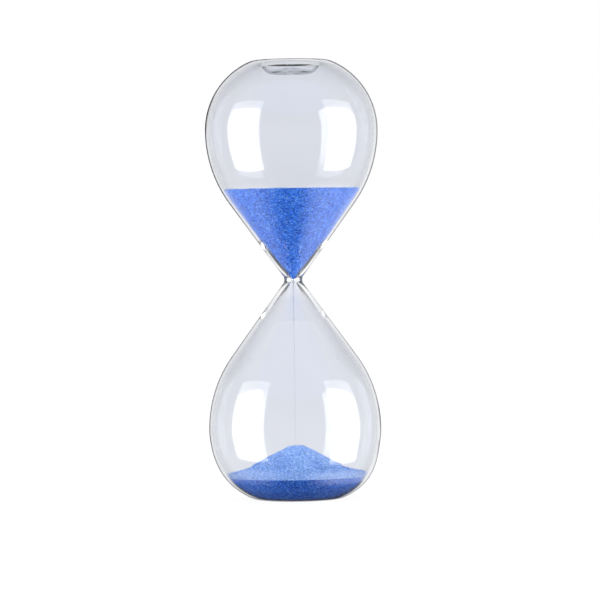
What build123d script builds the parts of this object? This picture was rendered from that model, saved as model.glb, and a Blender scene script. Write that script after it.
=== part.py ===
from build123d import *

import os
from math import cos, hypot, radians, sin, sqrt, tan

# A frameless, lampworked glass sand timer: two mirrored teardrop bulbs on one thick-walled neck,
# closed at both ends, with the sand part way through. It stands on either end.
#
# The origin is at the centre of the lower foot, with +Z up through the throat. Every piece is a
# body of revolution about Z. A bulb is drawn once, for the lower end, and mirrored about the
# throat for the upper end. Lengths are in millimetres and angles in radians.

# Overall size
height = 184.0
mid_height = height / 2

# Outer form of one bulb, measured from its own foot
belly_radius = 36.2
belly_height = 29.4
shoulder_arc = 31.5
foot_radius = 14.2
taper = radians(36.0)  # half-angle of the cone between belly and neck

# Glass
wall = 1.2
end_thickness = 1.2
neck_swell = 17.0  # how far above the throat the wall starts to thicken towards it

# The recess pushed up into each foot, so that the timer stands on a narrow ring
recess_radius = 12.0
recess_floor_radius = 9.2
recess_depth = 4.4
recess_rim_fillet = 1.8
recess_groove_fillet = 1.2
recess_floor_fillet = 3.0

# Neck and throat
neck_half_length = 12.0
waist_radius = 3.75
waist_fillet = 2.9
throat_radius = 0.5
throat_land = 1.2
throat_fillet = 0.6

# The flame-sealed bead that closes the filling hole in each recess
fill_hole_radius = 1.5
seal_button_radius = 5.0
seal_button_rise = 1.0
seal_drop = 0.5

# Sand
sand_gap = 0.05
repose = radians(28.0)  # the slope at which it slides
upper_sand_level = 38.3  # above the throat
pit_radius = 11.0
lower_sand_edge = 10.3  # where the sand meets the glass, above the foot
mound_knee_radius = 19.0
mound_knee_height = 13.0
mound_top_radius = 2.4
mound_top_fillet = 3.0
stream_top_radius = 0.38
stream_bottom_radius = 0.3

# The waist arc is upright at the throat, and this is where the cone would meet that plane
cone_radius_at_throat = waist_radius - waist_fillet * (sin(taper) * tan(taper) - 1 + cos(taper))
# The belly arc is tangent to the cone and upright at the belly
belly_arc = (
    (mid_height - belly_height) * sin(taper)
    + (cone_radius_at_throat - belly_radius) * cos(taper)
) / (1 - cos(taper))
belly_centre = belly_radius - belly_arc
# The foot arc is tangent to the foot ring and, from inside, to the shoulder arc
shoulder_centre = belly_radius - shoulder_arc
foot_reach = foot_radius - shoulder_centre
foot_arc = (shoulder_arc**2 - belly_height**2 - foot_reach**2) / (
    2 * (shoulder_arc - belly_height)
)

recess_lean = (recess_radius - recess_floor_radius) / recess_depth
inner_recess_depth = recess_depth + end_thickness
sand_inset = wall + sand_gap
pit_depth = pit_radius * tan(repose)
mound_top_height = mound_knee_height + (mound_knee_radius - mound_top_radius) * tan(repose)


def cone_radius(above_throat):
    """Outside radius of the cone at a height from the throat."""
    return cone_radius_at_throat + above_throat * tan(taper)


def inner_cone_radius(gap, above_throat):
    """Radius of the line from the throat's edge to where the wall is no longer thickened.

    The gap is how far the line keeps clear of the glass.
    """
    edge = throat_radius - gap
    swell_radius = cone_radius(neck_swell) - (wall + gap) / cos(taper)
    rise = (above_throat - throat_land / 2) / (neck_swell - throat_land / 2)
    return edge + rise * (swell_radius - edge)


def recess_wall(inset, above_foot):
    """The point of the recess's wall, or of a line parallel to it, at a height above the foot."""
    return (recess_radius - above_foot * recess_lean + inset * hypot(1, recess_lean), above_foot)


def arc_about(centre, reach, start, end):
    """Arc of radius reach about centre, from start to end the short way round."""
    across = (start[0] + end[0]) / 2 - centre[0]
    along = (start[1] + end[1]) / 2 - centre[1]
    stretch = reach / hypot(across, along)
    middle = (centre[0] + across * stretch, centre[1] + along * stretch)
    return ThreePointArc(start, middle, end)


def foot_and_shoulder(inset, top):
    """From the foot ring out round the shoulder, to the point top on the shoulder arc."""
    span = shoulder_arc - foot_arc
    turn = (
        shoulder_centre + (shoulder_arc - inset) * foot_reach / span,
        belly_height + (shoulder_arc - inset) * (foot_arc - belly_height) / span,
    )
    arc_about((foot_radius, foot_arc), foot_arc - inset, (foot_radius, inset), turn)
    arc_about((shoulder_centre, belly_height), shoulder_arc - inset, turn, top)


def taper_start(inset):
    """The point where the belly arc runs into the cone."""
    reach = belly_arc - inset
    return (belly_centre + reach * cos(taper), belly_height + reach * sin(taper))


def bulb_side(inset, *joint):
    """The side of a bulb, from the foot ring to its joint with the neck."""
    belly = (belly_radius - inset, belly_height)
    foot_and_shoulder(inset, belly)
    arc_about((belly_centre, belly_height), belly_arc - inset, belly, taper_start(inset))
    Polyline(taper_start(inset), *joint)


def recess(inset, depth, reach_in):
    """The flat of the foot ring, then the recess, in to the radius reach_in."""
    Polyline(
        (foot_radius, inset),
        recess_wall(inset, inset),
        recess_wall(inset, depth),
        (reach_in, depth),
    )


def corner(sketch, point):
    """The sketch's corner nearest to a point."""
    return sketch.vertices().sort_by_distance((*point, 0))[0]


outer_joint_radius = cone_radius(neck_half_length)
inner_joint_radius = inner_cone_radius(0, neck_half_length)
outer_joint = (outer_joint_radius, mid_height - neck_half_length)
inner_joint = (inner_joint_radius, mid_height - neck_half_length)
hole_outside = (fill_hole_radius, recess_depth)
hole_inside = (fill_hole_radius, inner_recess_depth)

# Bulbs: blown thin, thicker towards the neck, and open at the filling hole
with BuildPart() as lower_bulb:
    with BuildSketch(Plane.XZ) as bulb_section:
        with BuildLine():
            swell_start = (inner_cone_radius(0, neck_swell), mid_height - neck_swell)
            bulb_side(0, outer_joint)
            bulb_side(wall, swell_start, inner_joint)
            Line(outer_joint, inner_joint)
            recess(0, recess_depth, fill_hole_radius)
            recess(wall, inner_recess_depth, fill_hole_radius)
            Line(hole_outside, hole_inside)
        make_face()
        outside_floor = recess_wall(0, recess_depth)
        inside_floor = recess_wall(wall, inner_recess_depth)
        fillet(corner(bulb_section, recess_wall(0, 0)), radius=recess_rim_fillet)
        fillet(corner(bulb_section, recess_wall(wall, wall)), radius=recess_groove_fillet)
        fillet(corner(bulb_section, outside_floor), radius=recess_floor_fillet)
        fillet(corner(bulb_section, inside_floor), radius=recess_floor_fillet + wall)
    revolve(axis=Axis.Z)

with BuildPart() as upper_bulb:
    mirror(lower_bulb.part, about=Plane.XY.offset(mid_height))

# Neck: the drawn-down waist, whose thick wall leaves only the throat open
with BuildPart() as neck:
    waist_turn = waist_radius + waist_fillet * (1 - cos(taper))
    waist_reach = waist_fillet * sin(taper)
    with BuildSketch(Plane.XZ) as neck_section:
        with BuildLine():
            for side in (-1, 1):
                joint = mid_height + side * neck_half_length
                Line((waist_turn, mid_height + side * waist_reach), (outer_joint_radius, joint))
                Line((outer_joint_radius, joint), (inner_joint_radius, joint))
                Line(
                    (inner_joint_radius, joint),
                    (throat_radius, mid_height + side * throat_land / 2),
                )
            ThreePointArc(
                (waist_turn, mid_height - waist_reach),
                (waist_radius, mid_height),
                (waist_turn, mid_height + waist_reach),
            )
            Line(
                (throat_radius, mid_height - throat_land / 2),
                (throat_radius, mid_height + throat_land / 2),
            )
        make_face()
        fillet(neck_section.vertices().sort_by(Axis.X)[:2], radius=throat_fillet)
    revolve(axis=Axis.Z)

# Seals: a bead melted into the filling hole, with a button in the recess and a drop inside
with BuildPart() as lower_seal:
    with BuildSketch(Plane.XZ):
        with BuildLine():
            button_edge = (seal_button_radius, recess_depth)
            button_tip = (0, recess_depth - seal_button_rise)
            drop_tip = (0, inner_recess_depth + seal_drop)
            TangentArc(button_tip, button_edge, tangent=(1, 0))
            Polyline(button_edge, hole_outside, hole_inside)
            TangentArc(drop_tip, hole_inside, tangent=(1, 0))
            Line(drop_tip, button_tip)
        make_face()
    revolve(axis=Axis.Z)

with BuildPart() as upper_seal:
    mirror(lower_seal.part, about=Plane.XY.offset(mid_height))

# Sand still in the upper bulb: level on top, with a pit where it is drawn down, filling the
# cone down into the throat
with BuildPart() as upper_sand:
    level = mid_height + upper_sand_level
    upper_belly = height - belly_height
    level_radius = belly_centre + sqrt(
        (belly_arc - sand_inset) ** 2 - (upper_belly - level) ** 2
    )
    cone_top = (taper_start(sand_inset)[0], height - taper_start(sand_inset)[1])
    tip_radius = throat_radius - sand_gap
    with BuildSketch(Plane.XZ):
        with BuildLine():
            Polyline(
                (0, mid_height),
                (0, level - pit_depth),
                (pit_radius, level),
                (level_radius, level),
            )
            arc_about(
                (belly_centre, upper_belly),
                belly_arc - sand_inset,
                (level_radius, level),
                cone_top,
            )
            Polyline(
                cone_top,
                (inner_cone_radius(sand_gap, neck_swell), mid_height + neck_swell),
                (tip_radius, mid_height + throat_land / 2),
                (tip_radius, mid_height),
                (0, mid_height),
            )
        make_face()
    revolve(axis=Axis.Z)

# Sand that has run through: a mound on the floor of the lower bulb, round its recess
with BuildPart() as lower_sand:
    edge_radius = shoulder_centre + sqrt(
        (shoulder_arc - sand_inset) ** 2 - (belly_height - lower_sand_edge) ** 2
    )
    bed_depth = inner_recess_depth + sand_gap
    seal_clearance = fill_hole_radius + sand_gap
    over_seal = inner_recess_depth + seal_drop + sand_gap
    with BuildSketch(Plane.XZ) as mound_section:
        with BuildLine():
            foot_and_shoulder(sand_inset, (edge_radius, lower_sand_edge))
            Polyline(
                (edge_radius, lower_sand_edge),
                (mound_knee_radius, mound_knee_height),
                (mound_top_radius, mound_top_height),
                (0, mound_top_height),
                (0, over_seal),
                (seal_clearance, over_seal),
                (seal_clearance, bed_depth),
            )
            recess(sand_inset, bed_depth, seal_clearance)
        make_face()
        sand_groove = recess_wall(sand_inset, sand_inset)
        over_floor = recess_wall(sand_inset, bed_depth)
        mound_shoulder = (mound_top_radius, mound_top_height)
        fillet(corner(mound_section, sand_groove), radius=recess_groove_fillet)
        fillet(corner(mound_section, over_floor), radius=recess_floor_fillet + sand_inset)
        fillet(corner(mound_section, mound_shoulder), radius=mound_top_fillet)
    revolve(axis=Axis.Z)

# The thread of falling sand, from the throat to the top of the mound
with BuildPart() as sand_stream:
    with BuildSketch(Plane.XZ):
        with BuildLine():
            Polyline(
                (0, mound_top_height),
                (stream_bottom_radius, mound_top_height),
                (stream_top_radius, mid_height),
                (0, mid_height),
                close=True,
            )
        make_face()
    revolve(axis=Axis.Z)

pieces = {
    "upper_bulb": upper_bulb,
    "lower_bulb": lower_bulb,
    "neck": neck,
    "upper_seal": upper_seal,
    "lower_seal": lower_seal,
    "upper_sand": upper_sand,
    "lower_sand": lower_sand,
    "sand_stream": sand_stream,
}

os.makedirs("parts", exist_ok=True)
for name, piece in pieces.items():
    piece.part.label = name
    export_step(piece.part, f"parts/{name}.step")
    print(f"{name}: {piece.part.volume / 1000:.2f} cm3")
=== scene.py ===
import random
from math import atan2, cos, exp, hypot, pi, radians, sin, sqrt, tan

import bpy
from mathutils import Euler, Matrix, Vector, noise


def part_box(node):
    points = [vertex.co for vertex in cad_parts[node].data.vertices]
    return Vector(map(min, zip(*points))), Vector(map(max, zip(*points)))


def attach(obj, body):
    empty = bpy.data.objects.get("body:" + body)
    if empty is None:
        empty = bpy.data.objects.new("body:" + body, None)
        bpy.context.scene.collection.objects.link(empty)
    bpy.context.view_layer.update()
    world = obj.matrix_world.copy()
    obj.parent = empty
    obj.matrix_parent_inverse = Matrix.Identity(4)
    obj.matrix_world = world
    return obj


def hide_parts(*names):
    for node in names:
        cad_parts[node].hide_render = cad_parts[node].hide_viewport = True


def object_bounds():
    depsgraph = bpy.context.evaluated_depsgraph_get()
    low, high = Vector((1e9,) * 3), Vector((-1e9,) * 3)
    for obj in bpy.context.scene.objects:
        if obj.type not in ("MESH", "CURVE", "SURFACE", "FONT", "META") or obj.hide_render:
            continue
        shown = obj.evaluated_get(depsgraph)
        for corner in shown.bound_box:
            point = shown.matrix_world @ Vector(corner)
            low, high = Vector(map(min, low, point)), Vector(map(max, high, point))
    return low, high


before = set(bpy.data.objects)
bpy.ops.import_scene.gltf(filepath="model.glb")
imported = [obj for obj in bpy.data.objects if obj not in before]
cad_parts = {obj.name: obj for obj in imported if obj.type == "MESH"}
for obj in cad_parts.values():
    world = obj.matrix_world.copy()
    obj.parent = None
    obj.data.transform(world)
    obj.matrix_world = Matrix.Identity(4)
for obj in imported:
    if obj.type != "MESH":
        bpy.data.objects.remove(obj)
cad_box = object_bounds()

# A frameless, lampworked glass sand timer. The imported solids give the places; this script
# makes the blown glass and the grains. Outlines are drawn in millimetres, as (radius, height),
# and turned about the Z axis; the meshes are in metres.

MM = 0.001


def mm_box(node):
    """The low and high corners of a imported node's box, in millimetres."""
    low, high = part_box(node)
    return [c / MM for c in low], [c / MM for c in high]


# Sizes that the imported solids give
neck_low, neck_high = mm_box("neck")
seal_low, seal_high = mm_box("lower_seal")
stream_low, stream_high = mm_box("sand_stream")
height = cad_box[1][2] / MM
mid_height = height / 2
belly_radius = mm_box("lower_bulb")[1][0]
joint_height = neck_low[2]
outer_joint_radius = neck_high[0]
button_radius = seal_high[0]
button_tip = seal_low[2]
drop_tip = seal_high[2]
level_radius, _, level = mm_box("upper_sand")[1]

# Sizes of the blown glass before it slumps, the same as the solids have
belly_height = 29.4
shoulder_arc = 31.5
foot_radius = 14.2
taper = radians(36.0)
wall = 1.2
neck_swell = 17.0  # how far above the throat the wall starts to thicken towards it
recess_radius = 12.0
recess_floor_radius = 9.2
recess_depth = 4.4
inner_recess_depth = 5.6
recess_rim_fillet = 1.8
recess_groove_fillet = 1.2
recess_floor_fillet = 3.0
waist_radius = 3.75
waist_fillet = 2.9
throat_radius = 0.5
throat_land = 1.2
throat_fillet = 0.6
hole_radius = 1.5

# Sizes of the sand
sand_gap = 0.05
repose = radians(28.0)
pit_radius = 11.0
sand_edge = 10.3
knee_radius = 19.0  # where the mound's flank meets the flatter sand round it
knee_height = 13.0
mound_top_radius = 2.4
mound_top_blunting = 0.35
mound_rise = 0.7  # how far the mound stands above the sand round it at that knee
mound_shift = 0.5  # the mound has built up a little to the right of the axis
rough_depth = 0.12  # of the small lumps in a face of sand
rough_scale = 1.3
drift_depth = 0.30  # of the broad, shallow ones
drift_scale = 0.12

# How the blown glass departs from round
unround = 0.0035  # the most that the radius falls short, as a share of it
slump = 0.13  # the lower bulb's spread at its foot, as a share of its radius, leaving out the lean
slump_height = 24.0  # where that begins
wander = 0.08  # the most that the wall is thinner, in millimetres

# How many straight sides a turned piece has
SEGMENTS = 192
SAND_SEGMENTS = 320

cone_radius_at_throat = waist_radius - waist_fillet * (sin(taper) * tan(taper) - 1 + cos(taper))
belly_arc = (
    (mid_height - belly_height) * sin(taper)
    + (cone_radius_at_throat - belly_radius) * cos(taper)
) / (1 - cos(taper))
belly_centre = belly_radius - belly_arc
shoulder_centre = belly_radius - shoulder_arc
foot_reach = foot_radius - shoulder_centre
foot_arc = (shoulder_arc**2 - belly_height**2 - foot_reach**2) / (
    2 * (shoulder_arc - belly_height)
)
foot_turn = atan2(foot_arc - belly_height, foot_reach)
mound_edge_radius = shoulder_centre + sqrt(
    (shoulder_arc - wall - sand_gap) ** 2 - (belly_height - sand_edge) ** 2
)


# ---------------------------------------------------------------- outlines


def arc(centre, radius, start, end, step=0.6):
    """Points of an arc from one angle to another, about step apart."""
    count = max(2, round(abs(end - start) * radius / step))
    return [
        (
            centre[0] + radius * cos(start + (end - start) * i / count),
            centre[1] + radius * sin(start + (end - start) * i / count),
        )
        for i in range(count + 1)
    ]


def line(start, end, step=0.8):
    """Points of a straight run, about step apart."""
    count = max(1, round(hypot(end[0] - start[0], end[1] - start[1]) / step))
    return [
        (
            start[0] + (end[0] - start[0]) * i / count,
            start[1] + (end[1] - start[1]) * i / count,
        )
        for i in range(count + 1)
    ]


def joined(*runs):
    """Runs of points end to end, without the repeated ones."""
    points = []
    for run in runs:
        for point in run:
            if not points or hypot(point[0] - points[-1][0], point[1] - points[-1][1]) > 1e-4:
                points.append(point)
    return points


def cone_radius(above_throat):
    """Outside radius of the cone at a height from the throat."""
    return cone_radius_at_throat + above_throat * tan(taper)


def inner_cone_radius(gap, above_throat):
    """Radius of the line, clear of the glass by gap, from the throat to where the wall thins."""
    edge = throat_radius - gap
    swell_radius = cone_radius(neck_swell) - (wall + gap) / cos(taper)
    rise = (above_throat - throat_land / 2) / (neck_swell - throat_land / 2)
    return edge + rise * (swell_radius - edge)


def side(inset, *ends, step=0.6):
    """The side of the lower bulb, from the foot ring, then straight to each of the ends."""
    runs = [
        arc((foot_radius, foot_arc), foot_arc - inset, -pi / 2, foot_turn, step),
        arc((shoulder_centre, belly_height), shoulder_arc - inset, foot_turn, 0, step),
        arc((belly_centre, belly_height), belly_arc - inset, 0, taper, step),
    ]
    for end in ends:
        runs.append(line(runs[-1][-1], end, step))
    return joined(*runs)


def rounded(corners, step=0.5):
    """A run through corners given as (radius, height, fillet), rounded where the fillet isn't 0."""
    runs = [[corners[0][:2]]]
    for before, here, after in zip(corners, corners[1:], corners[2:]):
        point, fillet = Vector(here[:2]), here[2]
        back = (Vector(before[:2]) - point).normalized()
        onward = (Vector(after[:2]) - point).normalized()
        if fillet == 0:
            runs.append(line(runs[-1][-1], tuple(point), step))
            continue
        half = back.angle(onward) / 2
        start = point + back * (fillet / tan(half))
        centre = point + (back + onward).normalized() * (fillet / sin(half))
        first = start - centre
        last = point + onward * (fillet / tan(half)) - centre
        begin = atan2(first.y, first.x)
        turn = (atan2(last.y, last.x) - begin + pi) % (2 * pi) - pi
        runs.append(line(runs[-1][-1], tuple(start), step))
        runs.append(arc(tuple(centre), fillet, begin, begin + turn, 0.2))
    runs.append(line(runs[-1][-1], corners[-1][:2], step))
    return joined(*runs)


def recess(inset, depth, rim, floor, reach_in, step=0.5):
    """The foot ring's flat, then the recess in to the radius reach_in, with rounded corners."""
    lean = (recess_radius - recess_floor_radius) / recess_depth
    stand_off = recess_radius + inset * hypot(1, lean)
    return rounded(
        [
            (foot_radius, inset, 0),
            (stand_off - inset * lean, inset, rim),
            (stand_off - depth * lean, depth, floor),
            (reach_in, depth, 0),
        ],
        step,
    )


# ---------------------------------------------------------------- hand work


def out_of_round(z, azimuth):
    """How much of its nominal radius the timer has here.

    No blown glass is quite round, and the lower bulb has slumped a little over its foot, leaning
    to the right.
    """
    lean = 0.5 + 0.25 * sin(2 * azimuth + 0.7 + z / 40) + 0.25 * sin(3 * azimuth + 2.1 - z / 55)
    spread = max(0.0, 1 - z / slump_height) ** 1.6 * (1 + 0.4 * cos(azimuth))
    return (1 - unround * lean) * (1 + slump * spread)


def wall_wander(radius, z, azimuth):
    """How much thinner than nominal the wall is here, in millimetres, nothing near the axis."""
    thin = 0.5 + 0.3 * sin(2 * azimuth + z / 13) + 0.2 * sin(5 * azimuth - z / 9 + 1.3)
    return wander * thin * min(1.0, max(0.0, (radius - hole_radius) / recess_radius) ** 2)


def swirl(radius, azimuth):
    """Height of the tool's marks in the recess: a curl round the seal, and a fainter one outside."""
    curl = exp(-(((radius - 4.9) / 1.5) ** 2)) * sin(radius * 2.9 + azimuth + 0.6)
    rib = exp(-(((radius - 8.9) / 1.1) ** 2)) * max(0.0, cos(azimuth - 0.4)) ** 2
    return 0.07 * curl + 0.06 * rib


def swirl_rise(radius, z, azimuth, upper):
    """The swirl where a point lies inside the recess or on the seal's button, else 0."""
    from_foot = height - z if upper else z
    if radius < recess_radius - 1 and 0.5 < from_foot < recess_depth + 0.1:
        if radius >= button_radius or from_foot < recess_depth - 0.01:
            return -swirl(radius, azimuth) if upper else swirl(radius, azimuth)
    return 0.0


def turned(name, outline, segments, materials, slots, shape, closed=True):
    """A mesh made by turning a closed outline about Z.

    slots gives the material slot of each run between two points. shape takes a point's index,
    radius, height and azimuth, and returns its new radius and height.
    """
    verts, rings = [], []
    for index, (radius, z) in enumerate(outline):
        if radius == 0:
            _, h = shape(index, 0.0, z, 0.0)
            rings.append([len(verts)])
            verts.append((0.0, 0.0, h * MM))
            continue
        ring = []
        for s in range(segments):
            azimuth = 2 * pi * s / segments
            r, h = shape(index, radius, z, azimuth)
            ring.append(len(verts))
            verts.append((r * cos(azimuth) * MM, r * sin(azimuth) * MM, h * MM))
        rings.append(ring)
    faces, face_slots = [], []
    pairs = list(zip(range(len(rings)), range(1, len(rings))))
    if closed and len(rings[0]) > 1 and len(rings[-1]) > 1:
        pairs.append((len(rings) - 1, 0))
    for run, (a, b) in enumerate(pairs):
        low, high = rings[a], rings[b]
        if len(low) == 1 and len(high) == 1:
            continue
        for s in range(segments):
            t = (s + 1) % segments
            if len(low) == 1:
                faces.append((low[0], high[t], high[s]))
            elif len(high) == 1:
                faces.append((low[s], low[t], high[0]))
            else:
                faces.append((low[s], low[t], high[t], high[s]))
            face_slots.append(slots[run])
    mesh = bpy.data.meshes.new(name)
    mesh.from_pydata(verts, [], faces)
    mesh.polygons.foreach_set("material_index", face_slots)
    mesh.polygons.foreach_set("use_smooth", [True] * len(faces))
    for material in materials:
        mesh.materials.append(material)
    mesh.update()
    piece = bpy.data.objects.new(name, mesh)
    bpy.context.scene.collection.objects.link(piece)
    face_outward(mesh)
    return piece


def face_outward(mesh):
    """Turns a closed mesh right side out."""
    volume = sum(face.area * face.normal.dot(face.center) for face in mesh.polygons)
    if volume < 0:
        mesh.flip_normals()


def sharpened(piece, material_index):
    """Marks the edges round the faces of one material as sharp, to keep shading from crossing."""
    mesh = piece.data
    touching = {}
    for face in mesh.polygons:
        for key in face.edge_keys:
            touching.setdefault(key, set()).add(face.material_index == material_index)
    for edge in mesh.edges:
        edge.use_edge_sharp = len(touching[edge.key]) > 1
    return piece


# ---------------------------------------------------------------- node trees


class Number:
    """A number that a node tree works out. Plain arithmetic with it adds nodes to the tree."""

    def __init__(self, tree, socket):
        self.tree = tree
        self.socket = socket

    def worked(self, operation, *values):
        """What one Math node makes of the values."""
        node = self.tree.nodes.new("ShaderNodeMath")
        node.operation = operation
        for socket, value in zip(node.inputs, values):
            feed(self.tree, value, socket)
        return Number(self.tree, node.outputs[0])

    def __add__(self, other):
        return self.worked("ADD", self, other)

    def __radd__(self, other):
        return self.worked("ADD", other, self)

    def __sub__(self, other):
        return self.worked("SUBTRACT", self, other)

    def __rsub__(self, other):
        return self.worked("SUBTRACT", other, self)

    def __mul__(self, other):
        return self.worked("MULTIPLY", self, other)

    def __rmul__(self, other):
        return self.worked("MULTIPLY", other, self)

    def __truediv__(self, other):
        return self.worked("DIVIDE", self, other)

    def __pow__(self, other):
        return self.worked("POWER", self, other)

    def __gt__(self, other):
        return self.worked("GREATER_THAN", self, other)

    def __lt__(self, other):
        return self.worked("LESS_THAN", self, other)

    def __abs__(self):
        return self.worked("ABSOLUTE", self)

    def at_least(self, other):
        return self.worked("MAXIMUM", self, other)

    def smooth(self, start, end, before, after):
        """Goes from before to after as the number goes from start to end."""
        node = self.tree.nodes.new("ShaderNodeMapRange")
        node.interpolation_type = "SMOOTHSTEP"
        feed(self.tree, self, node.inputs["Value"])
        feed(self.tree, start, node.inputs["From Min"])
        feed(self.tree, end, node.inputs["From Max"])
        feed(self.tree, before, node.inputs["To Min"])
        feed(self.tree, after, node.inputs["To Max"])
        return Number(self.tree, node.outputs["Result"])

    def inside(self, low, high, blur):
        """1 where the number is between low and high, with edges blur wide."""
        rise = self.smooth(low - blur / 2, low + blur / 2, 0.0, 1.0)
        fall = self.smooth(high - blur / 2, high + blur / 2, 1.0, 0.0)
        return rise * fall


def feed(tree, value, socket):
    """Gives a socket its value, which is a Number or a plain one."""
    if isinstance(value, Number):
        tree.links.new(value.socket, socket)
    else:
        socket.default_value = value


def choose(condition, yes, no):
    """yes where the condition is 1, no where it is 0."""
    tree = condition.tree
    node = tree.nodes.new("ShaderNodeMix")
    node.data_type = "FLOAT"
    feed(tree, condition, node.inputs["Factor"])
    feed(tree, no, node.inputs["A"])
    feed(tree, yes, node.inputs["B"])
    return Number(tree, node.outputs["Result"])


def coordinates(tree, space):
    """x, y and z in one of the texture coordinate node's spaces."""
    place = tree.nodes.new("ShaderNodeTexCoord")
    split = tree.nodes.new("ShaderNodeSeparateXYZ")
    tree.links.new(place.outputs[space], split.inputs["Vector"])
    return [Number(tree, socket) for socket in split.outputs]


def light_path(tree):
    """How many surfaces the light has crossed, and whether one mirrored or scattered it."""
    path = tree.nodes.new("ShaderNodeLightPath")
    crossings, mirrors, scatters = (
        Number(tree, path.outputs[depth])
        for depth in ("Transmission Depth", "Glossy Depth", "Diffuse Depth")
    )
    return crossings, mirrors > 0.5, scatters > 0.5


def ramp(tree, stops, fed_by):
    """The colour that a ramp of (position, colour) stops gives. A grey can be one number."""
    node = tree.nodes.new("ShaderNodeValToRGB")
    elements = node.color_ramp.elements
    while len(elements) < len(stops):
        elements.new(0.5)
    for element, (position, colour) in zip(elements, stops):
        element.position = position
        element.color = (*colour, 1.0) if isinstance(colour, tuple) else (colour,) * 3 + (1.0,)
    tree.links.new(fed_by, node.inputs["Fac"])
    return node.outputs["Color"]


def mixed(tree, blend_type, factor, first, second):
    """Two colours mixed by a factor."""
    node = tree.nodes.new("ShaderNodeMix")
    node.data_type = "RGBA"
    node.blend_type = blend_type
    feed(tree, factor, node.inputs["Factor"])
    tree.links.new(first, node.inputs["A"])
    tree.links.new(second, node.inputs["B"])
    return node.outputs["Result"]


def texture(tree, kind, scale, **values):
    """A procedural texture in the object's own coordinates, scale per metre."""
    place = tree.nodes.new("ShaderNodeTexCoord")
    node = tree.nodes.new(kind)
    node.inputs["Scale"].default_value = scale
    for socket, value in values.items():
        node.inputs[socket].default_value = value
    tree.links.new(place.outputs["Object"], node.inputs["Vector"])
    return node


def bump(tree, shader, bumps, strength, depth, sunken=False):
    """Bumps on a shader's surface, depth millimetres deep."""
    node = tree.nodes.new("ShaderNodeBump")
    node.invert = sunken
    node.inputs["Strength"].default_value = strength
    node.inputs["Distance"].default_value = depth * MM
    tree.links.new(bumps, node.inputs["Height"])
    tree.links.new(node.outputs["Normal"], shader.inputs["Normal"])


def new_tree(owner):
    """The emptied node tree of a material or world."""
    owner.use_nodes = True
    owner.node_tree.nodes.clear()
    return owner.node_tree


def new_material(name):
    """A material, with its node tree and its Principled shader."""
    material = bpy.data.materials.new(name)
    material.use_nodes = True
    return material, material.node_tree, material.node_tree.nodes["Principled BSDF"]


# ---------------------------------------------------------------- materials


def painted_edge_tint(tree, stops, waist_stops, waist_reach, side_seen):
    """Glass colour by how edge-on it is seen, with other stops close to the waist. The dark stops are
    painted shade.

    waist_reach is how far from the throat those begin to fade and end. Seen from the other side
    than side_seen, which is "inside" or "outside" the glass itself, it has the first colour.
    """
    _, _, z = coordinates(tree, "Object")
    away = abs(z - mid_height * MM)
    near_waist = away.smooth(waist_reach[0] * MM, waist_reach[1] * MM, 1.0, 0.0)
    seen = Number(tree, tree.nodes.new("ShaderNodeNewGeometry").outputs["Backfacing"])
    if side_seen == "outside":
        seen = 1.0 - seen
    else:
        near_waist = near_waist * (away > throat_land * MM)
    edge = tree.nodes.new("ShaderNodeLayerWeight")
    edge.inputs["Blend"].default_value = 0.5
    facing = (Number(tree, edge.outputs["Facing"]) * seen).socket
    return mixed(
        tree, "MIX", near_waist, ramp(tree, stops, facing), ramp(tree, waist_stops, facing)
    )


def make_glass(name, stops, waist_stops, waist_reach, side_seen="outside", ior=1.47):
    """Clear borosilicate glass: a breath of lavender, faint waves and smudges, with the painted shade
    that its stops give at the rim and the waist.
    """
    material, tree, shader = new_material(name)
    shader.inputs["Transmission Weight"].default_value = 1.0
    shader.inputs["IOR"].default_value = ior
    tint = painted_edge_tint(tree, stops, waist_stops, waist_reach, side_seen)
    tree.links.new(tint, shader.inputs["Base Color"])
    waves = texture(tree, "ShaderNodeTexNoise", 38.0, Detail=1.5)
    bump(tree, shader, waves.outputs["Fac"], strength=0.12, depth=0.4)
    smudges = texture(tree, "ShaderNodeTexNoise", 90.0, Detail=4.0)
    rough = ramp(tree, [(0.45, 0.0), (0.75, 0.03)], smudges.outputs["Fac"])
    tree.links.new(rough, shader.inputs["Roughness"])
    return material


def make_fused():
    """The joint faces inside the one fused body, which light passes straight through."""
    material = bpy.data.materials.new("fused_joint")
    tree = new_tree(material)
    through = tree.nodes.new("ShaderNodeBsdfTransparent")
    output = tree.nodes.new("ShaderNodeOutputMaterial")
    tree.links.new(through.outputs["BSDF"], output.inputs["Surface"])
    return material


def make_sand(name, grain, shades, bump_depth):
    """Sand: one shade per grain from the shades given, which for the loose and falling sand hold
    painted light and shade, drifts of paler and darker grains, and rounded bumps.
    """
    material, tree, shader = new_material(name)
    cells = texture(tree, "ShaderNodeTexVoronoi", 1 / (grain * MM))
    pick = tree.nodes.new("ShaderNodeSeparateColor")
    tree.links.new(cells.outputs["Color"], pick.inputs["Color"])
    dye = ramp(tree, shades, pick.outputs["Red"])
    drifts = texture(tree, "ShaderNodeTexNoise", 900.0, Detail=3.0, Roughness=0.65)
    drift_shade = ramp(tree, [(0.36, 0.76), (0.64, 1.18)], drifts.outputs["Fac"])
    colour = mixed(tree, "MULTIPLY", 0.8, dye, drift_shade)
    tree.links.new(colour, shader.inputs["Base Color"])
    polish = ramp(tree, [(0.0, 0.65), (1.0, 0.95)], pick.outputs["Green"])
    tree.links.new(polish, shader.inputs["Roughness"])
    bump(tree, shader, cells.outputs["Distance"], strength=0.7, depth=bump_depth, sunken=True)
    shader.inputs["Specular IOR Level"].default_value = 0.25
    shader.inputs["Sheen Weight"].default_value = 0.05
    shader.inputs["Sheen Roughness"].default_value = 0.5
    return material
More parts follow.
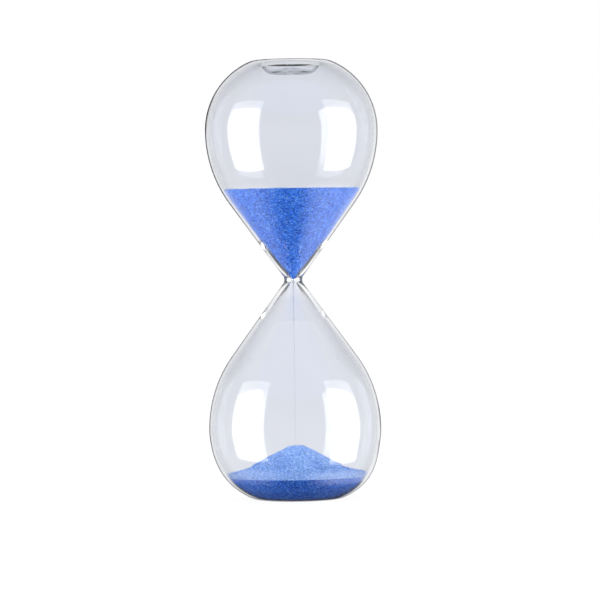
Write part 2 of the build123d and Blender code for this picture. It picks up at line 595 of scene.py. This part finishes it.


# Colours of the glass, and how they run from where it is seen square on, 0, to edge-on, 1. The dark
# and grey stops are painted shade: they darken the outline and draw dark lines at the waist.
clear = (0.880, 0.894, 0.932)
white = (0.97, 0.975, 0.98)
# dark is painted shade, used only for the lines at the waist.
dark = (0.03, 0.04, 0.06)
upper_painted_dark_rim = [(0.0, clear), (0.82, clear), (0.86, (0.05, 0.06, 0.08)), (1.0, (0.02, 0.025, 0.04))]
lower_painted_grey_rim = [(0.0, clear), (0.83, clear), (0.88, (0.36, 0.38, 0.43)), (1.0, (0.20, 0.22, 0.27))]
plain = [(0.0, clear), (1.0, clear)]
colourless = [(0.0, white), (1.0, white)]
# Painted shade: near the waist these stops draw dark lines at the waist's outline and on the inside
# of the throat.
outer_waist_painted_dark = [(0.0, white), (0.23, white), (0.30, dark), (1.0, dark)]
inner_waist_painted_lines = [(0.0, clear), (0.19, clear), (0.215, dark), (0.27, dark), (0.30, clear)]

# Shades of the grains, from the darkest to the palest, by the share of them that is darker
packed_shades = [
    (0.0, (0.004, 0.045, 0.42)),
    (0.14, (0.020, 0.130, 0.70)),
    (0.50, (0.045, 0.220, 0.92)),
    (0.84, (0.095, 0.320, 0.97)),
    (1.0, (0.22, 0.48, 0.99)),
]
# Painted light: the free top faces and the loose grains on them are paler than the packed sand, for
# the light from above and the veil of reflection over the tops.
lit_top_painted_shades = [
    (0.0, (0.05, 0.14, 0.40)),
    (0.16, (0.14, 0.29, 0.68)),
    (0.50, (0.205, 0.365, 0.77)),
    (0.84, (0.29, 0.46, 0.84)),
    (1.0, (0.52, 0.67, 0.93)),
]
# Painted shade: the falling grains are darker and greyer than the sand's dye, for the shade on them
# in the stream.
falling_painted_shade = [(0.0, (0.04, 0.06, 0.13)), (1.0, (0.11, 0.15, 0.27))]

# ---------------------------------------------------------------- glass


def blown_bulb(inside_from, upper):
    """Shape of a bulb: out of round, a wandering wall inside, and tool marks in the recess."""

    def shape(index, radius, z, azimuth):
        r = radius * out_of_round(z, azimuth)
        if index >= inside_from:
            return r + wall_wander(radius, z, azimuth), z
        return r, z + swirl_rise(radius, z, azimuth, upper)

    return shape


# Material slots of a piece of glass: its outside, the joints within the fused body, its inside
# and the foot ring, and what was worked last, which is the recess, the seal or the waist
SIDE, JOINT, PLAIN, WORKED = range(4)


def make_bulb(name, upper, glasses):
    """One bulb, closed where it joins the neck and the seal by faces that light ignores."""
    outer_recess = recess(0, recess_depth, recess_rim_fillet, recess_floor_fillet, button_radius)
    outer = joined(
        [(hole_radius, recess_depth)],
        list(reversed(outer_recess)),
        side(0, (outer_joint_radius, joint_height)),
    )
    swell_start = (inner_cone_radius(0, neck_swell), mid_height - neck_swell)
    inner_joint = (inner_cone_radius(0, mid_height - joint_height), joint_height)
    inner_recess = recess(
        wall, inner_recess_depth, recess_groove_fillet, recess_floor_fillet + wall, hole_radius
    )
    inner = joined(list(reversed(side(wall, swell_start, inner_joint))), inner_recess)
    outline = outer + inner
    slots = [WORKED] * len(outer_recess) + [SIDE] * (len(outer) - len(outer_recess))
    slots += [PLAIN] * (len(inner) - len(inner_recess)) + [WORKED] * len(inner_recess)
    # The foot ring and the groove behind it have the glass of the walls, not of the bowl
    for run, (radius, _) in enumerate(outline):
        if slots[run] == WORKED and radius > recess_radius:
            slots[run] = PLAIN
    slots[0] = JOINT
    slots[len(outer) - 1] = JOINT
    slots[-1] = JOINT
    if upper:
        outline = [(r, height - z) for r, z in outline]
    shape = blown_bulb(len(outer), upper)
    return sharpened(turned(name, outline, SEGMENTS, glasses, slots, shape), JOINT)


def make_neck(glasses):
    """The drawn-down waist with the throat through it."""
    turn = waist_radius + waist_fillet * (1 - cos(taper))
    reach = waist_fillet * sin(taper)
    half = mid_height - joint_height
    inner_radius = inner_cone_radius(0, half)
    waist = arc((waist_radius + waist_fillet, mid_height), waist_fillet, pi + taper, pi - taper, 0.15)
    lower_cone = line((outer_joint_radius, mid_height - half), (turn, mid_height - reach))
    upper_cone = line((turn, mid_height + reach), (outer_joint_radius, mid_height + half))
    outer = joined(lower_cone, waist, upper_cone)
    inner_angle = atan2(inner_radius - throat_radius, half - throat_land / 2)
    set_back = throat_fillet * tan(inner_angle / 2)
    lip_radius = throat_radius + throat_fillet
    lip_height = throat_land / 2 - set_back
    lower_lip = arc((lip_radius, mid_height - lip_height), throat_fillet, pi, pi + inner_angle, 0.1)
    upper_lip = arc((lip_radius, mid_height + lip_height), throat_fillet, pi - inner_angle, pi, 0.1)
    inner = joined(
        line((inner_radius, mid_height + half), upper_lip[0]),
        upper_lip,
        lower_lip,
        line(lower_lip[-1], (inner_radius, mid_height - half)),
    )
    outline = outer + inner
    slots = [SIDE] * len(outer) + [PLAIN] * len(inner)
    for run in range(len(lower_cone) - 1, len(lower_cone) + len(waist) - 2):
        slots[run] = WORKED
    slots[len(outer) - 1] = JOINT
    slots[-1] = JOINT

    def shape(index, radius, z, azimuth):
        r = radius * out_of_round(z, azimuth)
        return (r + wall_wander(radius, z, azimuth), z) if index >= len(outer) else (r, z)

    return sharpened(turned("neck_glass", outline, SEGMENTS, glasses, slots, shape), JOINT)


def cap(tip, edge):
    """A rounded cap from its tip on the axis to its edge."""
    rise = edge[1] - tip
    radius = (edge[0] ** 2 + rise**2) / (2 * abs(rise))
    centre = tip + (radius if rise > 0 else -radius)
    start = -pi / 2 if rise > 0 else pi / 2
    end = atan2(edge[1] - centre, edge[0])
    return arc((0, centre), radius, start, end, 0.2)


def make_seal(name, upper, glasses):
    """The bead melted into the filling hole: a button in the recess and a drop inside."""
    button = cap(button_tip, (button_radius, recess_depth))
    drop = list(reversed(cap(drop_tip, (hole_radius, inner_recess_depth))))
    outline = button + [(hole_radius, recess_depth)] + drop
    slots = [WORKED] * (len(button) - 1) + [JOINT] * 2 + [WORKED] * len(drop)
    outline[0] = (0.0, outline[0][1])  # the caps' tips, exactly on the axis
    outline[-1] = (0.0, outline[-1][1])
    if upper:
        outline = [(r, height - z) for r, z in outline]

    def shape(index, radius, z, azimuth):
        rise = swirl_rise(radius, z, azimuth, upper) if index < len(button) else 0.0
        return radius * out_of_round(z, azimuth), z + rise

    piece = turned(name, outline, SEGMENTS, glasses, slots, shape, closed=False)
    return sharpened(piece, JOINT)


# ---------------------------------------------------------------- sand


def heap(x, y, z, depth, scale):
    """Roughness of heaped sand at a point, in millimetres."""
    point = Vector((x, y, z)) * scale
    return depth * (noise.noise(point) + 0.5 * noise.noise(point * 2.3))


def mound_height(x, y):
    """Height of the mound's face, which has built up a little off the axis."""
    shift = mound_shift * max(0.0, 1 - (x * x + y * y) / level_radius**2)
    radius = hypot(x - shift, y)
    if radius > knee_radius:
        reach = (radius - knee_radius) / (mound_edge_radius - knee_radius)
        return knee_height + (sand_edge - knee_height) * min(1.0, reach)
    flank = knee_height + (knee_radius - radius) * tan(repose)
    peak = knee_height + (knee_radius - mound_top_radius) * tan(repose)
    return peak - hypot(max(0.0, peak - flank), mound_top_blunting) + mound_rise


def level_height(x, y):
    """Height of the upper sand's face, with the pit where it is drawn down."""
    return level - max(0.0, pit_radius - hypot(x, y)) * tan(repose)


def packed_sand(name, outline, face, surface, sands):
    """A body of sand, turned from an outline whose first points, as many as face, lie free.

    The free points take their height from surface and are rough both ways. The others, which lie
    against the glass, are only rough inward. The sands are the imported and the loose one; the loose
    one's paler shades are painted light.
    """
    PACKED, LOOSE = range(2)

    def shape(index, radius, z, azimuth):
        r = radius * out_of_round(z, azimuth)
        x, y = r * cos(azimuth), r * sin(azimuth)
        rough = heap(x, y, z, rough_depth, rough_scale)
        if index >= face:
            return r - abs(rough) / 2, z
        fade = min(1.0, (face - 1 - index) / 4)
        drift = heap(x, y, z, drift_depth, drift_scale)
        return r, surface(x, y) + (rough + drift) * fade - rough_depth * (1 - fade)

    slots = [LOOSE] * (face - 1) + [PACKED] * (len(outline) - face)
    return turned(name, outline, SAND_SEGMENTS, sands, slots, shape, closed=False)


def make_upper_sand(sands):
    """The sand left in the upper bulb, down to the middle of the throat."""
    reach = belly_arc - wall - sand_gap
    centre = (belly_centre, height - belly_height)
    start = atan2(level - centre[1], level_radius - belly_centre)
    tip_radius = throat_radius - sand_gap
    top = joined(
        line((0.0, level), (pit_radius, level), 0.4),
        line((pit_radius, level), (level_radius, level), 0.4),
    )
    flank = arc(centre, reach, start, -taper, 0.4)
    swell_start = (inner_cone_radius(sand_gap, neck_swell), mid_height + neck_swell)
    outline = joined(
        top,
        flank,
        line(flank[-1], swell_start, 0.4),
        line(swell_start, (tip_radius, mid_height + throat_land / 2), 0.4),
        [(tip_radius / 3, mid_height), (0.0, mid_height)],
    )
    return packed_sand("upper_sand_body", outline, len(top), level_height, sands)


def make_lower_sand(sands):
    """The mound, and the sand under it down to the inside of the recess and the seal's drop."""
    inset = wall + sand_gap
    edge_angle = -atan2(belly_height - sand_edge, mound_edge_radius - shoulder_centre)
    relief = hole_radius + sand_gap
    over_seal = drop_tip + sand_gap
    top = joined(
        line((0.0, knee_height), (knee_radius, knee_height), 0.4),
        line((knee_radius, knee_height), (mound_edge_radius, sand_edge), 0.4),
    )
    outline = joined(
        top,
        arc((shoulder_centre, belly_height), shoulder_arc - inset, edge_angle, foot_turn, 0.4),
        arc((foot_radius, foot_arc), foot_arc - inset, foot_turn, -pi / 2, 0.4),
        recess(
            inset,
            inner_recess_depth + sand_gap,
            recess_groove_fillet,
            recess_floor_fillet + inset,
            relief,
        ),
        [(relief, over_seal), (0.0, over_seal)],
    )
    return packed_sand("lower_sand_body", outline, len(top), mound_height, sands)


# A grain's corners and faces, before it is squeezed: those of an icosahedron
LONG = 1.618
ICO = [
    Vector(v).normalized()
    for v in (
        (0, 1, LONG), (0, -1, LONG), (0, 1, -LONG), (0, -1, -LONG),
        (1, LONG, 0), (-1, LONG, 0), (1, -LONG, 0), (-1, -LONG, 0),
        (LONG, 0, 1), (-LONG, 0, 1), (LONG, 0, -1), (-LONG, 0, -1),
    )
]
ICO_FACES = (
    (0, 1, 8), (0, 9, 1), (0, 8, 4), (0, 4, 5), (0, 5, 9), (8, 1, 6), (1, 7, 6), (1, 9, 7),
    (2, 10, 3), (2, 3, 11), (2, 4, 10), (2, 5, 4), (2, 11, 5), (3, 10, 6), (3, 6, 7), (3, 7, 11),
    (4, 8, 10), (6, 10, 8), (5, 11, 9), (7, 9, 11),
)


def grains(name, places, size, material, rng):
    """Loose grains: rounded, slightly lopsided bodies at the given places, in one mesh."""
    verts, faces = [], []
    for place in places:
        spin = Euler([rng.uniform(0, 2 * pi) for _ in range(3)]).to_matrix()
        width = size * rng.uniform(0.7, 1.25) / 2
        squeeze = Matrix.Diagonal((1.0, rng.uniform(0.7, 1.0), rng.uniform(0.65, 0.95)))
        first = len(verts)
        for corner in ICO:
            point = spin @ (squeeze @ (corner * width * rng.uniform(0.88, 1.08)))
            verts.append(tuple((point[i] + place[i]) * MM for i in range(3)))
        faces.extend(tuple(first + i for i in face) for face in ICO_FACES)
    mesh = bpy.data.meshes.new(name)
    mesh.from_pydata(verts, [], faces)
    mesh.materials.append(material)
    mesh.update()
    face_outward(mesh)
    piece = bpy.data.objects.new(name, mesh)
    bpy.context.scene.collection.objects.link(piece)
    return piece


def scattered(count, reach, surface, rng):
    """Places for loose grains, half sunk in a face of sand."""
    sunk = 0.05
    places = []
    for _ in range(count):
        radius = sqrt(rng.uniform(0, 1)) * reach
        azimuth = rng.uniform(0, 2 * pi)
        x, y = radius * cos(azimuth), radius * sin(azimuth)
        drift = heap(x, y, 0, drift_depth, drift_scale)
        places.append((x, y, surface(x, y) + drift - sunk))
    return places


def falling(count, rng):
    """Places in the stream, spread as falling grains are: close at the throat, sparser below."""
    clear_of_end, clear_of_side = 0.2, 0.12
    top = stream_high[2] - clear_of_end
    fall = top - stream_low[2] - clear_of_end
    spread = stream_high[0] - clear_of_side
    steady = 0.12  # the share of the fall that they would make at the speed they leave with
    places = []
    for i in range(count):
        time = (i + rng.random()) / count
        radius = spread * sqrt(rng.random()) * (0.75 + 0.25 * time)
        azimuth = rng.uniform(0, 2 * pi)
        z = top - fall * (steady * time + (1 - steady) * time**2)
        places.append((radius * cos(azimuth), radius * sin(azimuth), z))
    return places


# ---------------------------------------------------------------- the stage


def softbox_light(x, y, z):
    """The softboxes that reflections find: two tall ones, dimmer towards the top.

    x, y and z are the direction that the light comes from, here and below. The softboxes stand
    to both sides of the camera. turn is the angle from its line of sight to the line square to
    them. across and aloft are places on their plane, as shares of how far off it is.
    """
    turn, shortest, brightness = radians(45), 0.05, 5.0
    right_one_further_round = 0.14
    aside = abs(x)
    ahead = aside * sin(turn) - y * cos(turn)
    reach = ahead.at_least(shortest)
    across = (aside * cos(turn) + y * sin(turn)) / reach - (x > 0.0) * right_one_further_round
    aloft = z / reach
    panel = across.inside(-0.02, 1.15, 0.04) * aloft.inside(-0.68, 0.87, 0.04)
    glow = 1.0 - aloft.inside(0.50, 9.0, 0.5) * 0.66
    return panel * (ahead > shortest) * glow * brightness


def table_light(x, y, z, crossings):
    """The table that reflections find below: bright to both sides, dark in front and behind.

    It is much dimmer in the shoulder, whose slant tells it from the cone, and where the far
    wall mirrors it.
    """
    sides = x.inside(0.34, 2.0, 0.5) * 2.3 + x.inside(-2.0, -0.46, 0.5) * 1.6
    outward = (x**2.0 + (1.0 - y) ** 2.0) ** 0.5
    slant = outward / (z * -1.0).at_least(0.05)
    shoulder = slant.inside(-1.0, 1.12, 0.3)
    share = (1.0 - y.inside(0.25, 2.0, 0.5) * 0.45) * (1.0 - shoulder * 0.85)
    share = share * choose(crossings < 1.5, 1.0, 0.3)
    return 0.03 + sides * share


def room_light(x, y, z, crossings):
    """What reflections find round the softboxes."""
    to_right = x.inside(0.0, 2.0, 0.1)
    to_front = y.inside(-2.0, -0.55, 0.5)
    above = z.inside(0.15, 2.0, 0.5)
    low_in_front = z.inside(-2.0, -0.55, 0.3) * y.inside(-2.0, 0.2, 0.4)
    room = 0.56 - to_front * 0.26 + to_right * 0.05 - above * 0.25
    room = room * (1.0 - low_in_front * 0.92)

    # What the inner surface of the front wall mirrors is the bright backdrop
    off_axis = y.worked("ARCCOSINE", y) * (180 / pi)
    deflected = 1.0 - off_axis.inside(-20, 30, 8)
    backdrop = 1.02 + to_right.at_least(deflected) * 0.06
    in_wall = crossings.inside(0.5, 2.5, 0.1) * off_axis.inside(-20, 42, 10)
    room = choose(in_wall, backdrop, room)

    # Steeply down is the table. It begins less far down behind the timer than in front
    down = (z - y * 0.3).inside(-2.0, -0.62, 0.12)
    room = choose(down, table_light(x, y, z, crossings), room)

    # What the recess mirrors up and down is bright, so that it hardly shows
    in_recess = y.inside(-0.2, 2.0, 0.1) * (crossings > 4.5)
    up_or_down = abs(z).inside(0.3, 2.0, 0.1)
    room = choose(in_recess * up_or_down, 0.85, room)

    # What the outer surface mirrors at its edge is the dark round the backdrop, less so at right
    edge = off_axis.inside(-20, 20, 3) * (crossings < 0.5)
    return room * (1.0 - edge * (0.97 - to_right * 0.42))


def make_world():
    """A white studio. Reflections find its two softboxes and its darker room as well."""
    world = bpy.data.worlds.new("studio")
    bpy.context.scene.world = world
    tree = new_tree(world)
    world.cycles.sampling_method = "NONE"
    x, y, z = coordinates(tree, "Generated")
    crossings, mirrored, scattered_light = light_path(tree)
    seen = room_light(x, y, z, crossings) + softbox_light(x, y, z)
    fill = 1.55 + z.inside(0.4, 2.0, 0.6) * 0.3
    strength = choose(scattered_light, fill, choose(mirrored, seen, 1.0))
    background = tree.nodes.new("ShaderNodeBackground")
    background.inputs["Color"].default_value = (1.0, 1.0, 1.0, 1.0)
    feed(tree, strength, background.inputs["Strength"])
    output = tree.nodes.new("ShaderNodeOutputWorld")
    tree.links.new(background.outputs["Background"], output.inputs["Surface"])


def make_floor():
    """A pale floor, lit almost evenly, that keeps a soft shadow under the timer.

    It gives the timer less light from close by. Reflections pass through it, so that the
    softboxes are mirrored whole.
    """
    size, brightness = 6.0, 0.93
    mesh = bpy.data.meshes.new("floor")
    mesh.from_pydata(
        [(-size, -size, 0), (size, -size, 0), (size, size, 0), (-size, size, 0)],
        [],
        [(0, 1, 2, 3)],
    )
    floor = bpy.data.objects.new("floor", mesh)
    bpy.context.scene.collection.objects.link(floor)
    material = bpy.data.materials.new("pale_floor")
    tree = new_tree(material)
    x, y, z = coordinates(tree, "Object")
    _, mirrored, scattered_light = light_path(tree)
    narrower, reach, blur, depth = 2.2, 0.105, 0.09, 0.6  # of the dim patch round the timer
    away = ((x * narrower) ** 2.0 + y**2.0 + z**2.0) ** 0.5
    dimmed = scattered_light * away.inside(-1.0, reach, blur) * depth
    glow = tree.nodes.new("ShaderNodeEmission")
    feed(tree, brightness - dimmed, glow.inputs["Strength"])
    paint = tree.nodes.new("ShaderNodeBsdfDiffuse")
    paint.inputs["Color"].default_value = (0.06, 0.06, 0.06, 1.0)
    add = tree.nodes.new("ShaderNodeAddShader")
    tree.links.new(glow.outputs["Emission"], add.inputs[0])
    tree.links.new(paint.outputs["BSDF"], add.inputs[1])
    unseen = tree.nodes.new("ShaderNodeBsdfTransparent")
    pick = tree.nodes.new("ShaderNodeMixShader")
    feed(tree, mirrored, pick.inputs["Fac"])
    tree.links.new(add.outputs["Shader"], pick.inputs[1])
    tree.links.new(unseen.outputs["BSDF"], pick.inputs[2])
    output = tree.nodes.new("ShaderNodeOutputMaterial")
    tree.links.new(pick.outputs["Shader"], output.inputs["Surface"])
    mesh.materials.append(material)


def area_light(name, place, aim, width, tall, power):
    """A soft light that only lights what scatters: reflections come from the world."""
    data = bpy.data.lights.new(name, "AREA")
    data.shape = "RECTANGLE"
    data.size, data.size_y = width, tall
    data.energy = power
    light = bpy.data.objects.new(name, data)
    light.location = place
    direction = Vector(aim) - Vector(place)
    light.rotation_euler = direction.to_track_quat("-Z", "Y").to_euler()
    light.visible_camera = False
    light.visible_glossy = False
    light.visible_transmission = False
    bpy.context.scene.collection.objects.link(light)


def make_lights():
    """A softbox to each side, almost square to the view, and one overhead."""
    middle = (0, 0, height * MM / 2)
    reach, angle = 0.6, radians(80)
    for sign, name in ((-1, "left_softbox"), (1, "right_softbox")):
        place = (sign * reach * sin(angle), -reach * cos(angle), middle[2])
        area_light(name, place, middle, width=0.45, tall=0.8, power=4.6)
    overhead = (0, 0.05, 1.0)
    area_light("overhead_softbox", overhead, middle, width=0.6, tall=0.6, power=3.0)


def make_camera():
    """The camera looks slightly down from a little above the throat."""
    data = bpy.data.cameras.new("camera")
    data.sensor_width = 36.0
    data.lens = 200.2
    camera = bpy.data.objects.new("camera", data)
    distance, eye_height = 1.4, 0.112
    tilt, yaw, roll = radians(1.17), radians(0.111), radians(0.8)
    camera.location = (0, -distance, eye_height)
    look = Matrix.Rotation(-yaw, 4, "Z") @ Matrix.Rotation(pi / 2 - tilt, 4, "X")
    camera.rotation_euler = (look @ Matrix.Rotation(-roll, 4, "Z")).to_euler()
    bpy.context.scene.collection.objects.link(camera)
    bpy.context.scene.camera = camera


# ---------------------------------------------------------------- the object


def place_piece(piece, slot, *nodes):
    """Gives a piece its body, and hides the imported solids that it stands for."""
    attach(piece, "root")
    if nodes:
        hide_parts(*nodes)


make_camera()
make_world()
make_floor()
make_lights()
bpy.context.scene.view_settings.view_transform = "Standard"
# Room for light that the glass walls pass and mirror many times
cycles = bpy.context.scene.cycles
cycles.max_bounces = cycles.transmission_bounces = cycles.glossy_bounces = 32

fused = make_fused()
inside_glass = make_glass("blown_glass_inside", plain, inner_waist_painted_lines, (4.0, 8.0), "inside")
# The dish and the seals bend light less than real glass would, so that they hardly show
dished_glass = make_glass("dished_glass", colourless, colourless, (1.0, 2.0), ior=1.15)
# The waist's outline is dark edge-on, as painted shade.
waist_glass = make_glass("waist_glass", colourless, outer_waist_painted_dark, (0.8, 1.8))
# The outsides get painted shade edge-on: a near black rim on the upper bulb, a grey one on the lower
# bulb and the neck, none near the waist.
upper_side = make_glass("blown_glass", upper_painted_dark_rim, colourless, (4.0, 9.0))
lower_side = make_glass("grey_rim_painted_glass", lower_painted_grey_rim, colourless, (4.0, 9.0))
upper_glasses = [upper_side, fused, inside_glass, dished_glass]
lower_glasses = [lower_side, fused, inside_glass, dished_glass]
neck_glasses = [lower_side, fused, inside_glass, waist_glass]
packed = make_sand("packed_sand", grain=0.44, shades=packed_shades, bump_depth=0.13)
# The loose sand's paler shades are painted light on the tops.
loose_face_painted_light = make_sand("loose_sand_painted_light", grain=0.42, shades=lit_top_painted_shades, bump_depth=0.13)
loose_sand_painted_light = make_sand("loose_grains_painted_light", grain=0.5, shades=lit_top_painted_shades, bump_depth=0.04)
# The falling grains' dark grey is painted shade.
falling_sand_painted_shade = make_sand("falling_sand_painted_shade", grain=0.5, shades=falling_painted_shade, bump_depth=0.04)

upper_glass = make_bulb("upper_bulb_glass", True, upper_glasses)
lower_glass = make_bulb("lower_bulb_glass", False, lower_glasses)
neck_glass = make_neck(neck_glasses)
upper_bead = make_seal("upper_seal_bead", True, upper_glasses)
lower_bead = make_seal("lower_seal_bead", False, lower_glasses)
for piece, node in (
    (upper_glass, "upper_bulb"),
    (lower_glass, "lower_bulb"),
    (neck_glass, "neck"),
    (upper_bead, "upper_seal"),
    (lower_bead, "lower_seal"),
):
    piece.visible_shadow = False
    place_piece(piece, "clear_glass", node)

place_piece(make_upper_sand([packed, loose_face_painted_light]), "blue_sand", "upper_sand")
place_piece(make_lower_sand([packed, loose_face_painted_light]), "blue_sand", "lower_sand")

rng = random.Random(7)
falling_size, loose_size, clear_of_glass = 0.17, 0.34, 1.2
stream = grains("falling_grains", falling(430, rng), falling_size, falling_sand_painted_shade, rng)
place_piece(stream, "blue_sand", "sand_stream")
on_mound = scattered(5200, mound_edge_radius - clear_of_glass, mound_height, rng)
place_piece(grains("mound_grains", on_mound, loose_size, loose_sand_painted_light, rng), "blue_sand")
on_level = scattered(3600, level_radius - clear_of_glass, level_height, rng)
place_piece(grains("level_grains", on_level, loose_size, loose_sand_painted_light, rng), "blue_sand")
